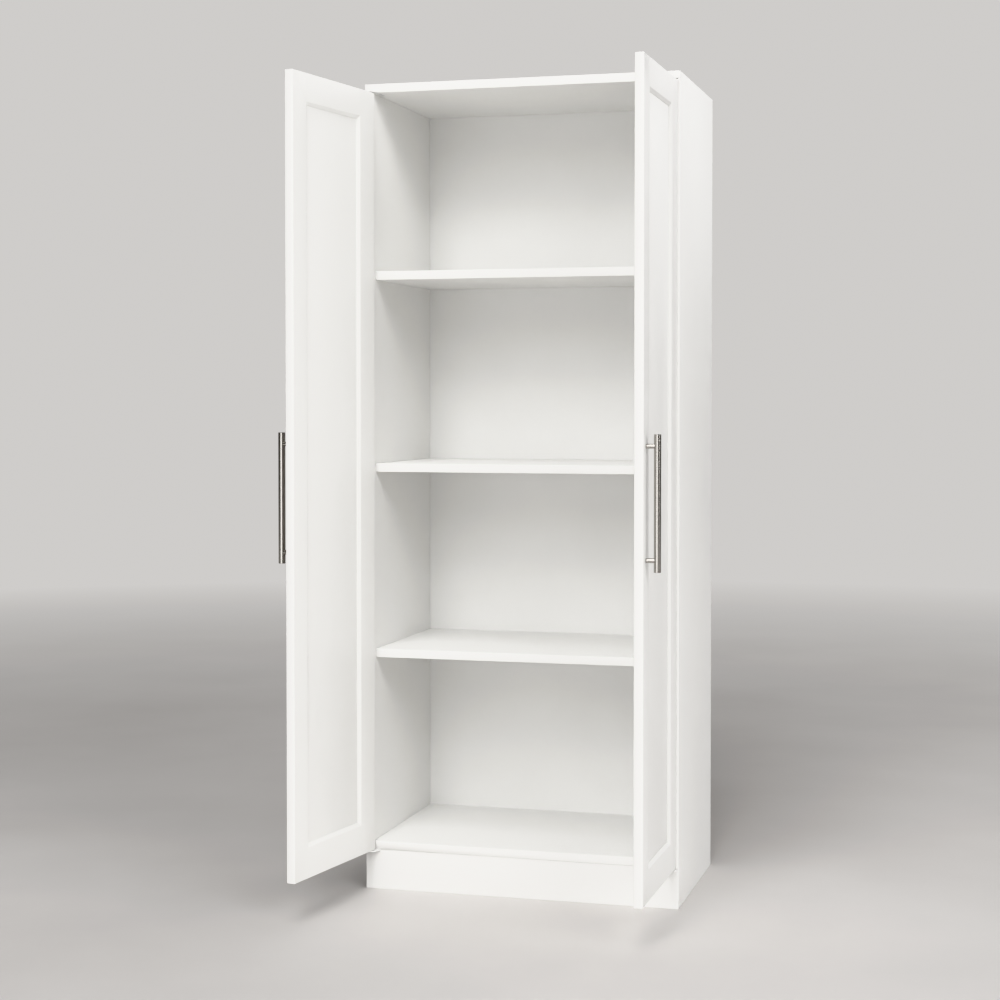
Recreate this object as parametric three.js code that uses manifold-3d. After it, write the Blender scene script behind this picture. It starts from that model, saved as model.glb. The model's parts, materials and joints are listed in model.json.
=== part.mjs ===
// Pantry cabinet: a tall cupboard with two framed doors, three fixed shelves and a plinth.
// Millimetres, +Z up. X runs to the right seen from the front, Y runs back into the cabinet,
// and the origin is the middle of the plinth board's underside.
import * as THREE from 'three';
import { mergeVertices } from 'three/addons/utils/BufferGeometryUtils.js';
import Module from 'manifold-3d';

const wasm = await Module();
wasm.setup();

// ---- Driving dimensions: carcass ----
const CABINET_WIDTH = 602;
const CABINET_HEIGHT = 1524;
const CABINET_DEPTH = 360;
const BOARD = 16;
const BACK_SHEET = 3;
const PLINTH_HEIGHT = 75;
const PLINTH_SETBACK = 1.5;
const REAR_PLINTH_INSET = 20;
const SHELF_SETBACK = 14;
const HOUSING_DEPTH = 5;
const REBATE_WIDTH = 8;
const BACK_REVEAL = 2;
const JOINT_GAP = 0.2;
// Clear heights under each fixed shelf, from the bottom up; the top compartment takes the rest.
const SHELVES = [
  { name: 'lower_shelf', clearBelow: 349 },
  { name: 'middle_shelf', clearBelow: 337 },
  { name: 'upper_shelf', clearBelow: 348 },
];

// ---- Driving dimensions: doors ----
const DOOR_THICKNESS = 16;
const DOOR_EDGE_INSET = 1;
const DOOR_MEETING_GAP = 3;
const DOOR_END_GAP = 1;
const HINGE_STILE_WIDTH = 56;
const LOCK_STILE_WIDTH = 46;
const TOP_RAIL_WIDTH = 50;
const BOTTOM_RAIL_WIDTH = 56;
const SLOPE_WIDTH = 6;
const LIP_THICKNESS = 1;
const PANEL_THICKNESS = 6;
const PANEL_CLEARANCE = 0.15;
const PANEL_EXPANSION = 1.5;
const GROOVE_DEPTH = 10;
const HINGE_ARRIS_RADIUS = 3;
const LEFT_DOOR_OPEN = 99.5;
const RIGHT_DOOR_OPEN = 89.5;

// ---- Driving dimensions: pivot hinges ----
const PIVOT_EDGE_DISTANCE = 9.5;
const PIVOT_OFF_CENTRE = 1;
const SWEEP_CLEARANCE = 0.5;
const DOOR_TRAVEL = 110;
const PLATE_THICKNESS = 2;
const PLATE_LEAF_WIDTH = 11;
const PLATE_LEAF_LENGTH = 46;
const PLATE_SIDE_CLEARANCE = 1.5;
const PLATE_RIM = 1.5;
const PIN_DIAMETER = 5;
const PIN_ENGAGEMENT = 11;
const BUSH_DIAMETER = 8;
const BUSH_FLANGE_DIAMETER = 11;
const BUSH_LENGTH = 12;
const RUNNING_CLEARANCE = 0.1;
const STOP_PIN_DIAMETER = 2;
const STOP_PIN_RADIUS = 7.5;
const STOP_PIN_DEPTH = 8;
const STOP_CLEARANCE = 0.3;
const SCREW_DIAMETER = 3.5;
const SCREW_HEAD_DIAMETER = 7;
const SCREW_LENGTH = 13;
const SCREW_SETBACKS = [24, 38];

// ---- Driving dimensions: pulls ----
const PULL_LENGTH = 232;
const PULL_SPACING = 192;
const PULL_BAR_DIAMETER = 12;
const PULL_POST_DIAMETER = 8;
const PULL_STANDOFF = 20;
const PULL_EDGE_DISTANCE = 20;
const PULL_HEIGHT = 756;
const POST_SINK = 4;
const STUD_DIAMETER = 4;
const STUD_IN_POST = 9;
const STUD_IN_DOOR = 11;

// ---- Places worked out from them ----
const ROUND_SEGMENTS = 24;
const HEAD_STEPS = 12;
const SLOT_SIDE_STEPS = 20;
const SLOT_END_STEPS = 8;
const ARRIS_STEPS = 6;
const OVERCUT = 1;
const HALF_WIDTH = CABINET_WIDTH / 2;
const SIDE_INNER = HALF_WIDTH - BOARD;
const FRONT = -(PLINTH_SETBACK + BOARD / 2);
const BACK = FRONT + CABINET_DEPTH;
const SHEET_FRONT = BACK - BACK_SHEET;
const TOP_UNDERSIDE = CABINET_HEIGHT - BOARD;

const DOOR_WIDTH = HALF_WIDTH - DOOR_EDGE_INSET - DOOR_MEETING_GAP / 2;
const DOOR_BOTTOM = PLINTH_HEIGHT + DOOR_END_GAP;
const DOOR_TOP = TOP_UNDERSIDE - DOOR_END_GAP;
// The pivot axis lies inside the hinge stile, so both vertical arrises swing on small circles.
const INNER_FACE = DOOR_THICKNESS / 2 + PIVOT_OFF_CENTRE;
const OUTER_FACE = INNER_FACE - DOOR_THICKNESS;
const INNER_SWEEP = HINGE_ARRIS_RADIUS
  + Math.hypot(PIVOT_EDGE_DISTANCE - HINGE_ARRIS_RADIUS, INNER_FACE - HINGE_ARRIS_RADIUS);
const OUTER_SWEEP = Math.hypot(PIVOT_EDGE_DISTANCE, OUTER_FACE);
const PIVOT_FORWARD = Math.max(INNER_SWEEP, OUTER_SWEEP) + SWEEP_CLEARANCE;
const PIVOT_INSET = DOOR_EDGE_INSET + PIVOT_EDGE_DISTANCE;
const PIVOT_Y = FRONT - PIVOT_FORWARD;
const RECESS_DEPTH = (DOOR_THICKNESS - PANEL_THICKNESS) / 2;
const SLOPE_DEPTH = RECESS_DEPTH - PANEL_CLEARANCE - LIP_THICKNESS;
// The stop pin stands at this angle round the pivot with the door shut, and opening turns it back.
const STOP_SHUT_ANGLE = 90 + DOOR_TRAVEL / 2;
const STOP_OPEN_ANGLE = STOP_SHUT_ANGLE - DOOR_TRAVEL;
const SLOT_HALF_WIDTH = STOP_PIN_DIAMETER / 2 + STOP_CLEARANCE;
const HEAD_RADIUS = STOP_PIN_RADIUS + SLOT_HALF_WIDTH + PLATE_RIM;
const SCREW_HEAD_HEIGHT = (SCREW_HEAD_DIAMETER - SCREW_DIAMETER) / 2;
const POST_HEIGHTS = {
  lower: PULL_HEIGHT - PULL_SPACING / 2,
  upper: PULL_HEIGHT + PULL_SPACING / 2,
};

// ---- Finishes ----
const whiteBoard = new THREE.MeshStandardMaterial({ color: 0xf1f0ed, roughness: 0.42, metalness: 0 });
const backSheetWhite = new THREE.MeshStandardMaterial({ color: 0xe9e8e4, roughness: 0.55, metalness: 0 });
const brushedSteel = new THREE.MeshStandardMaterial({ color: 0xb5b1aa, roughness: 0.32, metalness: 1 });
const whiteSteel = new THREE.MeshStandardMaterial({ color: 0xe6e5e1, roughness: 0.4, metalness: 0.2 });
const brightSteel = new THREE.MeshStandardMaterial({ color: 0xc2c3c4, roughness: 0.3, metalness: 1 });
const nylon = new THREE.MeshStandardMaterial({ color: 0xe4e1d8, roughness: 0.5, metalness: 0 });

// ---- Shape helpers ----
const SPIN_TO_Z = new THREE.Matrix4().makeRotationX(Math.PI / 2);
const PROFILE_TO_X = new THREE.Matrix4().makeBasis(
  new THREE.Vector3(0, 1, 0),
  new THREE.Vector3(0, 0, 1),
  new THREE.Vector3(1, 0, 0),
);

/** A square-edged block between two corners, given as a span on each axis. */
function block([x0, x1], [y0, y1], [z0, z1]) {
  const geometry = new THREE.BoxGeometry(Math.abs(x1 - x0), Math.abs(y1 - y0), Math.abs(z1 - z0));
  return geometry.translate((x0 + x1) / 2, (y0 + y1) / 2, (z0 + z1) / 2);
}

/** A plan outline of (x, y) points, with optional holes, raised from z0 to z1. */
function raise(outline, [z0, z1], holes = []) {
  // A mirrored outline runs clockwise, and its holes are only turned to suit it when it doesn't.
  const clockwise = THREE.ShapeUtils.isClockWise(outline);
  const shape = new THREE.Shape(clockwise ? [...outline].reverse() : outline);
  shape.holes = holes.map((points) => new THREE.Path(points));
  const geometry = new THREE.ExtrudeGeometry(shape, { depth: Math.abs(z1 - z0), bevelEnabled: false });
  return geometry.translate(0, 0, Math.min(z0, z1));
}

/** A section of (y, z) points drawn out along X. */
function drawAlongX(section, [x0, x1]) {
  const depth = Math.abs(x1 - x0);
  const geometry = new THREE.ExtrudeGeometry(new THREE.Shape(section), { depth, bevelEnabled: false });
  return geometry.applyMatrix4(PROFILE_TO_X).translate(Math.min(x0, x1), 0, 0);
}

/** A round bar, or a taper when a second radius is given, standing on (x, y). */
function barUp(x, y, [z0, z1], radius, topRadius = radius) {
  const geometry = new THREE.CylinderGeometry(topRadius, radius, Math.abs(z1 - z0), ROUND_SEGMENTS);
  return geometry.applyMatrix4(SPIN_TO_Z).translate(x, y, (z0 + z1) / 2);
}

/** A round bar lying front to back through (x, z). */
function barBack(x, z, [y0, y1], radius) {
  const geometry = new THREE.CylinderGeometry(radius, radius, y1 - y0, ROUND_SEGMENTS);
  return geometry.translate(x, (y0 + y1) / 2, z);
}

/** A turned piece about Z, from (radius, height) points that start and end on the axis or close. */
function turned(profile) {
  const points = profile.map(([radius, height]) => new THREE.Vector2(radius, height));
  return new THREE.LatheGeometry(points, ROUND_SEGMENTS).applyMatrix4(SPIN_TO_Z);
}

function toSolid(geometry) {
  const bare = geometry.clone();
  bare.deleteAttribute('normal');
  bare.deleteAttribute('uv');
  const welded = mergeVertices(bare, 1e-4);
  return new wasm.Manifold(new wasm.Mesh({
    numProp: 3,
    vertProperties: new Float32Array(welded.attributes.position.array),
    triVerts: new Uint32Array(welded.index.array),
  }));
}

function toGeometry(solid) {
  const mesh = solid.getMesh();
  const geometry = new THREE.BufferGeometry();
  geometry.setAttribute('position', new THREE.BufferAttribute(mesh.vertProperties, 3));
  geometry.setIndex(new THREE.BufferAttribute(mesh.triVerts, 1));
  const faceted = geometry.toNonIndexed();
  faceted.computeVertexNormals();
  return faceted;
}

function join(base, ...additions) {
  return toGeometry(additions.reduce((solid, extra) => solid.add(toSolid(extra)), toSolid(base)));
}

function cut(base, ...cutters) {
  return toGeometry(cutters.reduce((solid, cutter) => solid.subtract(toSolid(cutter)), toSolid(base)));
}

function addPart(parent, name, geometry, material) {
  const mesh = new THREE.Mesh(geometry, material);
  mesh.name = name;
  parent.add(mesh);
  return mesh;
}

const SIDES = [
  { name: 'left', side: -1, open: LEFT_DOOR_OPEN },
  { name: 'right', side: 1, open: RIGHT_DOOR_OPEN },
];
// The door's ends: `face` is the carcass underside that carries the hinge plate at that end, and
// `away` points from the door out through the plate.
const ENDS = [
  { name: 'bottom', away: -1, face: PLINTH_HEIGHT, doorEnd: DOOR_BOTTOM },
  { name: 'top', away: 1, face: TOP_UNDERSIDE, doorEnd: DOOR_TOP },
];

// ---- Hinge plates: one outline for all four, drawn for a side of the cabinet ----
function hingePlan(side) {
  const inward = -side;
  const pivot = new THREE.Vector2(side * (HALF_WIDTH - PIVOT_INSET), PIVOT_Y);
  const leafOuter = side * (SIDE_INNER - PLATE_SIDE_CLEARANCE);
  return { side, inward, pivot, leafOuter, leafInner: leafOuter + inward * PLATE_LEAF_WIDTH };
}

/** A point at an angle round the pivot: 0 points into the cabinet's width, 90 points to its back. */
function roundPivot({ inward, pivot }, radius, degrees) {
  const angle = THREE.MathUtils.degToRad(degrees);
  return new THREE.Vector2(
    pivot.x + inward * radius * Math.cos(angle),
    pivot.y + radius * Math.sin(angle),
  );
}

function arcRoundPivot(plan, radius, from, to, steps) {
  return Array.from({ length: steps + 1 }, (_, i) => (
    roundPivot(plan, radius, from + ((to - from) * i) / steps)
  ));
}

function plateOutline(plan, gap = 0) {
  // The head is a disc about the pivot with its front cut flat, level with the shut door's face.
  const flat = -THREE.MathUtils.radToDeg(Math.asin(Math.min(1, -OUTER_FACE / HEAD_RADIUS)));
  const leafFront = FRONT - PLINTH_SETBACK;
  const leafBack = FRONT + PLATE_LEAF_LENGTH;
  return [
    ...arcRoundPivot(plan, HEAD_RADIUS, 90, 180 - flat, HEAD_STEPS),
    roundPivot(plan, HEAD_RADIUS, flat),
    new THREE.Vector2(plan.leafInner + plan.inward * gap, leafFront),
    new THREE.Vector2(plan.leafInner + plan.inward * gap, leafBack + gap),
    new THREE.Vector2(plan.leafOuter - plan.inward * gap, leafBack + gap),
    new THREE.Vector2(plan.leafOuter - plan.inward * gap, leafFront),
  ];
}

/** The curved slot that the stop pin runs in. */
function stopSlot(plan) {
  const endCap = (centreAngle, from) => {
    const centre = roundPivot(plan, STOP_PIN_RADIUS, centreAngle);
    const local = { inward: plan.inward, pivot: centre };
    return arcRoundPivot(local, SLOT_HALF_WIDTH, from, from + 180, SLOT_END_STEPS);
  };
  const side = (radius, from, to) => arcRoundPivot(plan, radius, from, to, SLOT_SIDE_STEPS);
  const outer = side(STOP_PIN_RADIUS + SLOT_HALF_WIDTH, STOP_OPEN_ANGLE, STOP_SHUT_ANGLE);
  const inner = side(STOP_PIN_RADIUS - SLOT_HALF_WIDTH, STOP_SHUT_ANGLE, STOP_OPEN_ANGLE);
  return [
    ...outer.slice(0, -1),
    ...endCap(STOP_SHUT_ANGLE, STOP_SHUT_ANGLE).slice(0, -1),
    ...inner.slice(0, -1),
    ...endCap(STOP_OPEN_ANGLE, STOP_OPEN_ANGLE + 180).slice(0, -1),
  ];
}

function screwPlaces(plan) {
  const x = (plan.leafOuter + plan.leafInner) / 2;
  return SCREW_SETBACKS.map((setback) => ({ x, y: FRONT + setback }));
}

/** The hole that one plate screw needs, from the plate's underside up into the board. */
function screwHole({ x, y }, underside) {
  const radius = SCREW_DIAMETER / 2 + JOINT_GAP;
  return barUp(x, y, [underside - OVERCUT, underside + SCREW_LENGTH + JOINT_GAP], radius);
}

function buildHingePlate(parent, sideName, plan, end) {
  const farFace = end.face + end.away * PLATE_THICKNESS;
  const underside = Math.min(end.face, farFace);
  const fullTurn = arcRoundPivot(plan, PIN_DIAMETER / 2 + RUNNING_CLEARANCE, 0, 360, ROUND_SEGMENTS);
  const pinHole = fullTurn.slice(0, -1);
  const blank = raise(plateOutline(plan), [end.face, farFace], [pinHole, stopSlot(plan)]);
  const countersink = ({ x, y }) => barUp(
    x,
    y,
    [underside - JOINT_GAP, underside + SCREW_HEAD_HEIGHT + JOINT_GAP],
    SCREW_HEAD_DIAMETER / 2 + 2 * JOINT_GAP,
    SCREW_DIAMETER / 2 + JOINT_GAP,
  );
  const cutters = screwPlaces(plan).flatMap((place) => [screwHole(place, underside), countersink(place)]);
  const prefix = `${sideName}_${end.name}_hinge`;
  addPart(parent, `${prefix}_plate`, cut(blank, ...cutters), whiteSteel);

  screwPlaces(plan).forEach(({ x, y }, index) => {
    const screw = turned([
      [0, 0],
      [SCREW_HEAD_DIAMETER / 2, 0],
      [SCREW_DIAMETER / 2, SCREW_HEAD_HEIGHT],
      [SCREW_DIAMETER / 2, SCREW_LENGTH - SCREW_DIAMETER],
      [0, SCREW_LENGTH],
    ]);
    const mesh = addPart(parent, `${prefix}_screw_${index + 1}`, screw, brightSteel);
    mesh.position.set(x, y, underside);
  });

  // The pin is riveted flush with the plate's far face and reaches into the door's bush.
  const length = PLATE_THICKNESS + DOOR_END_GAP + PIN_ENGAGEMENT;
  const pin = addPart(parent, `${prefix}_pin`, turned([
    [0, 0],
    [PIN_DIAMETER / 2, 0],
    [PIN_DIAMETER / 2, length - 1],
    [PIN_DIAMETER / 2 - 1, length],
    [0, length],
  ]), brightSteel);
  pin.position.set(plan.pivot.x, plan.pivot.y, farFace);
  pin.rotation.x = end.away > 0 ? Math.PI : 0;
}

// ---- Carcass ----
/** The boards housed in both sides: the bottom, the shelves and the top, from the floor up. */
function housedBoards() {
  const boards = [{ name: 'bottom_panel', underside: PLINTH_HEIGHT, setback: 0 }];
  let surface = PLINTH_HEIGHT + BOARD;
  SHELVES.forEach(({ name, clearBelow }) => {
    boards.push({ name, underside: surface + clearBelow, setback: SHELF_SETBACK });
    surface += clearBelow + BOARD;
  });
  boards.push({ name: 'top_panel', underside: TOP_UNDERSIDE, setback: 0 });
  return boards;
}

function buildSidePanel(parent, { name, side }) {
  const blank = block([side * SIDE_INNER, side * HALF_WIDTH], [FRONT, BACK], [0, CABINET_HEIGHT]);
  const housings = housedBoards().map(({ underside, setback }) => {
    const start = setback > 0 ? FRONT + setback - JOINT_GAP : FRONT - OVERCUT;
    return block(
      [side * (SIDE_INNER - OVERCUT), side * (SIDE_INNER + HOUSING_DEPTH)],
      [start, SHEET_FRONT],
      [underside - JOINT_GAP, underside + BOARD + JOINT_GAP],
    );
  });
  const sheetRebate = block(
    [side * (SIDE_INNER - OVERCUT), side * (SIDE_INNER + REBATE_WIDTH)],
    [SHEET_FRONT - JOINT_GAP, BACK + OVERCUT],
    [PLINTH_HEIGHT - JOINT_GAP, CABINET_HEIGHT + OVERCUT],
  );
  const plinthNotch = block(
    [side * (SIDE_INNER - OVERCUT), side * (HALF_WIDTH + OVERCUT)],
    [FRONT - OVERCUT, BOARD / 2 + JOINT_GAP],
    [-OVERCUT, PLINTH_HEIGHT],
  );
  addPart(parent, `${name}_side_panel`, cut(blank, ...housings, sheetRebate, plinthNotch), whiteBoard);
}

function buildHousedBoard(parent, { name, underside, setback }) {
  const reach = SIDE_INNER + HOUSING_DEPTH - JOINT_GAP;
  const board = block(
    [-reach, reach],
    [FRONT + setback, SHEET_FRONT - JOINT_GAP],
    [underside, underside + BOARD],
  );
  const carriesHinges = ENDS.some((end) => end.face === underside);
  if (!carriesHinges) {
    addPart(parent, name, board, whiteBoard);
    return;
  }
  const plateInside = underside === TOP_UNDERSIDE;
  const cutters = SIDES.flatMap(({ side }) => {
    const plan = hingePlan(side);
    const plateUnderside = plateInside ? underside : underside - PLATE_THICKNESS;
    const holes = screwPlaces(plan).map((place) => screwHole(place, plateUnderside));
    const letIn = [underside - OVERCUT, underside + PLATE_THICKNESS + JOINT_GAP];
    return plateInside ? [...holes, raise(plateOutline(plan, JOINT_GAP), letIn)] : holes;
  });
  addPart(parent, name, cut(board, ...cutters), whiteBoard);
}

function buildPlinth(parent) {
  const height = [0, PLINTH_HEIGHT - JOINT_GAP];
  const notches = SIDES.map(({ side }) => {
    const { inward, leafOuter, leafInner } = hingePlan(side);
    return block(
      [leafOuter - inward * JOINT_GAP, leafInner + inward * JOINT_GAP],
      [-BOARD, BOARD],
      [PLINTH_HEIGHT - PLATE_THICKNESS - JOINT_GAP, PLINTH_HEIGHT + OVERCUT],
    );
  });
  const front = block([-HALF_WIDTH, HALF_WIDTH], [-BOARD / 2, BOARD / 2], height);
  addPart(parent, 'plinth_board', cut(front, ...notches), whiteBoard);

  const rearFace = SHEET_FRONT - REAR_PLINTH_INSET;
  const reach = SIDE_INNER - JOINT_GAP;
  const rear = block([-reach, reach], [rearFace - BOARD, rearFace], height);
  addPart(parent, 'rear_plinth_board', rear, whiteBoard);
}

function buildBackSheet(parent) {
  const reach = SIDE_INNER + REBATE_WIDTH - JOINT_GAP;
  const sheet = block([-reach, reach], [SHEET_FRONT, BACK], [PLINTH_HEIGHT, CABINET_HEIGHT - BACK_REVEAL]);
  addPart(parent, 'back_panel', sheet, backSheetWhite);
}

// ---- Doors: a door group stands on its pivot axis, shut, and is then turned open ----
/**
 * Section of a frame member: `a` runs in from its outer edge and `b` from the outer face to the
 * inner face. Both faces slope down to a grooved lip that holds the centre panel.
 */
function frameSection(width, arrisRadius = 0) {
  const tip = width + SLOPE_WIDTH;
  const grooveSide = RECESS_DEPTH - PANEL_CLEARANCE;
  const half = [
    [width, 0],
    [tip, SLOPE_DEPTH],
    [tip, grooveSide],
    [tip - GROOVE_DEPTH, grooveSide],
  ];
  const otherHalf = half.map(([a, b]) => [a, DOOR_THICKNESS - b]).reverse();
  const steps = arrisRadius > 0 ? ARRIS_STEPS : 0;
  const arris = Array.from({ length: steps + 1 }, (_, i) => {
    const angle = (Math.PI / 2) * (steps > 0 ? i / steps : 0);
    return [
      arrisRadius * (1 - Math.sin(angle)),
      DOOR_THICKNESS - arrisRadius * (1 - Math.cos(angle)),
    ];
  });
  return [[0, 0], ...half, ...otherHalf, ...arris];
}

/** Where things are in a door group of one side: distances count inward from the hinge edge. */
function doorPlan({ name, side, open }) {
  const inward = -side;
  const across = (distance) => inward * (distance - PIVOT_EDGE_DISTANCE);
  const stilePoint = (a, b) => new THREE.Vector2(across(a), OUTER_FACE + b);
  const hingeStile = frameSection(HINGE_STILE_WIDTH, HINGE_ARRIS_RADIUS)
    .map(([a, b]) => stilePoint(a, b));
  const lockStile = frameSection(LOCK_STILE_WIDTH).map(([a, b]) => stilePoint(DOOR_WIDTH - a, b));
  const stopAt = roundPivot({ inward, pivot: new THREE.Vector2() }, STOP_PIN_RADIUS, STOP_SHUT_ANGLE);
  const pullX = across(DOOR_WIDTH - PULL_EDGE_DISTANCE);
  return { name, side, open, inward, across, hingeStile, lockStile, stopAt, pullX };
}

function shifted(points, dx) {
  return points.map((point) => new THREE.Vector2(point.x + dx, point.y));
}

function buildStiles(group, plan) {
  const height = [DOOR_BOTTOM, DOOR_TOP];
  const endBores = ENDS.flatMap(({ away, doorEnd }) => {
    const mouth = doorEnd + away * OVERCUT;
    const bushFloor = doorEnd - away * (BUSH_LENGTH + JOINT_GAP);
    const stopFloor = doorEnd - away * (STOP_PIN_DEPTH + JOINT_GAP);
    return [
      barUp(0, 0, [mouth, bushFloor], BUSH_DIAMETER / 2 + JOINT_GAP),
      barUp(plan.stopAt.x, plan.stopAt.y, [mouth, stopFloor], STOP_PIN_DIAMETER / 2 + JOINT_GAP),
    ];
  });
  const hingeStile = cut(raise(plan.hingeStile, height), ...endBores);
  addPart(group, `${plan.name}_door_hinge_stile`, hingeStile, whiteBoard);

  const studSpan = [OUTER_FACE - OVERCUT, OUTER_FACE + STUD_IN_DOOR + JOINT_GAP];
  const studBores = Object.values(POST_HEIGHTS).map((z) => (
    barBack(plan.pullX, z, studSpan, STUD_DIAMETER / 2 + JOINT_GAP)
  ));
  const lockStile = cut(raise(plan.lockStile, height), ...studBores);
  addPart(group, `${plan.name}_door_lock_stile`, lockStile, whiteBoard);
}

function buildRail(group, plan, { name, width, from, up }) {
  const section = frameSection(width).map(([a, b]) => (
    new THREE.Vector2(OUTER_FACE + b, from + up * a)
  ));
  const bodyStart = plan.across(HINGE_STILE_WIDTH + JOINT_GAP);
  const bodyEnd = plan.across(DOOR_WIDTH - LOCK_STILE_WIDTH - JOINT_GAP);
  const body = drawAlongX(section, [bodyStart, bodyEnd]);
  // A stub tenon at each end fills the stile's groove, stopping short of the centre panel.
  const tenonReach = GROOVE_DEPTH - SLOPE_WIDTH - PANEL_EXPANSION;
  const tenonStart = plan.across(HINGE_STILE_WIDTH - tenonReach);
  const tenonEnd = plan.across(DOOR_WIDTH - LOCK_STILE_WIDTH + tenonReach);
  const tenon = block(
    [tenonStart, tenonEnd],
    [OUTER_FACE + RECESS_DEPTH, INNER_FACE - RECESS_DEPTH],
    [from, from + up * (width + SLOPE_WIDTH - GROOVE_DEPTH)],
  );
  const joined = join(body, tenon);
  // The ends are coped over the stiles' slopes.
  const reach = [DOOR_BOTTOM - OVERCUT, DOOR_TOP + OVERCUT];
  const coped = cut(
    joined,
    raise(shifted(plan.hingeStile, plan.inward * JOINT_GAP), reach),
    raise(shifted(plan.lockStile, -plan.inward * JOINT_GAP), reach),
  );
  addPart(group, `${plan.name}_door_${name}`, coped, whiteBoard);
}

function buildCentrePanel(group, plan) {
  const engagement = GROOVE_DEPTH - PANEL_EXPANSION;
  const edge = (width) => width + SLOPE_WIDTH - engagement;
  const panel = block(
    [plan.across(edge(HINGE_STILE_WIDTH)), plan.across(DOOR_WIDTH - edge(LOCK_STILE_WIDTH))],
    [OUTER_FACE + RECESS_DEPTH, INNER_FACE - RECESS_DEPTH],
    [DOOR_BOTTOM + edge(BOTTOM_RAIL_WIDTH), DOOR_TOP - edge(TOP_RAIL_WIDTH)],
  );
  addPart(group, `${plan.name}_door_centre_panel`, panel, whiteBoard);
}

// ---- Pulls: a bar on two posts, each held by a stud that is blind in the lock stile ----
function buildPull(group, plan) {
  const x = plan.pullX;
  const barY = OUTER_FACE - PULL_STANDOFF;
  const sinkFloor = barY + PULL_BAR_DIAMETER / 2 - POST_SINK;
  const sockets = Object.values(POST_HEIGHTS).map((z) => (
    barBack(x, z, [sinkFloor, OUTER_FACE], PULL_POST_DIAMETER / 2 + JOINT_GAP)
  ));
  const barSpan = [PULL_HEIGHT - PULL_LENGTH / 2, PULL_HEIGHT + PULL_LENGTH / 2];
  const bar = barUp(x, barY, barSpan, PULL_BAR_DIAMETER / 2);
  addPart(group, `${plan.name}_pull_bar`, cut(bar, ...sockets), brushedSteel);

  const postSpan = [sinkFloor + JOINT_GAP, OUTER_FACE - JOINT_GAP];
  const studFront = OUTER_FACE - STUD_IN_POST;
  const studSpan = [studFront + JOINT_GAP, OUTER_FACE + STUD_IN_DOOR - JOINT_GAP];
  Object.entries(POST_HEIGHTS).forEach(([level, z]) => {
    const post = barBack(x, z, postSpan, PULL_POST_DIAMETER / 2);
    const threadHole = barBack(x, z, [studFront, OUTER_FACE], STUD_DIAMETER / 2 + JOINT_GAP);
    addPart(group, `${plan.name}_pull_${level}_post`, cut(post, threadHole), brushedSteel);
    const stud = barBack(x, z, studSpan, STUD_DIAMETER / 2);
    addPart(group, `${plan.name}_pull_${level}_stud`, stud, brightSteel);
  });
}

/** The flanged bush and the stop pin set in one end of a door's hinge stile. */
function buildDoorEndFittings(group, plan, { name, away, doorEnd }) {
  const flip = away > 0 ? Math.PI : 0;
  const bore = PIN_DIAMETER / 2 + RUNNING_CLEARANCE;
  const bush = addPart(group, `${plan.name}_${name}_hinge_bush`, turned([
    [bore, -DOOR_END_GAP + RUNNING_CLEARANCE],
    [BUSH_FLANGE_DIAMETER / 2, -DOOR_END_GAP + RUNNING_CLEARANCE],
    [BUSH_FLANGE_DIAMETER / 2, -RUNNING_CLEARANCE],
    [BUSH_DIAMETER / 2, -RUNNING_CLEARANCE],
    [BUSH_DIAMETER / 2, BUSH_LENGTH],
    [bore, BUSH_LENGTH],
    [bore, -DOOR_END_GAP + RUNNING_CLEARANCE],
  ]), nylon);
  bush.position.z = doorEnd;
  bush.rotation.x = flip;

  const tip = doorEnd + away * (DOOR_END_GAP + PLATE_THICKNESS - STOP_CLEARANCE);
  const root = doorEnd - away * STOP_PIN_DEPTH;
  const stopPin = barUp(plan.stopAt.x, plan.stopAt.y, [tip, root], STOP_PIN_DIAMETER / 2);
  addPart(group, `${plan.name}_${name}_hinge_stop_pin`, stopPin, brightSteel);
}

function buildDoor(parent, sideEntry) {
  const plan = doorPlan(sideEntry);
  const group = new THREE.Group();
  buildStiles(group, plan);
  buildRail(group, plan, { name: 'bottom_rail', width: BOTTOM_RAIL_WIDTH, from: DOOR_BOTTOM, up: 1 });
  buildRail(group, plan, { name: 'top_rail', width: TOP_RAIL_WIDTH, from: DOOR_TOP, up: -1 });
  buildCentrePanel(group, plan);
  buildPull(group, plan);
  ENDS.forEach((end) => buildDoorEndFittings(group, plan, end));
  group.position.set(plan.side * (HALF_WIDTH - PIVOT_INSET), PIVOT_Y, 0);
  group.rotation.z = THREE.MathUtils.degToRad(plan.side * plan.open);
  parent.add(group);
}

// ---- The cabinet ----
const cabinet = new THREE.Group();
SIDES.forEach((sideEntry) => buildSidePanel(cabinet, sideEntry));
housedBoards().forEach((board) => buildHousedBoard(cabinet, board));
buildBackSheet(cabinet);
buildPlinth(cabinet);
SIDES.forEach(({ name, side }) => {
  ENDS.forEach((end) => buildHingePlate(cabinet, name, hingePlan(side), end));
});
SIDES.forEach((sideEntry) => buildDoor(cabinet, sideEntry));

export default cabinet;
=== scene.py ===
"""A tall white pantry cabinet with two framed doors stored open, three fixed shelves and a plinth.
Metres, +X to the right seen from the front, +Y back into the cabinet, +Z up."""

import json
import math

import bmesh
import bpy
import numpy as np
from mathutils import Matrix, Vector


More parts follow.
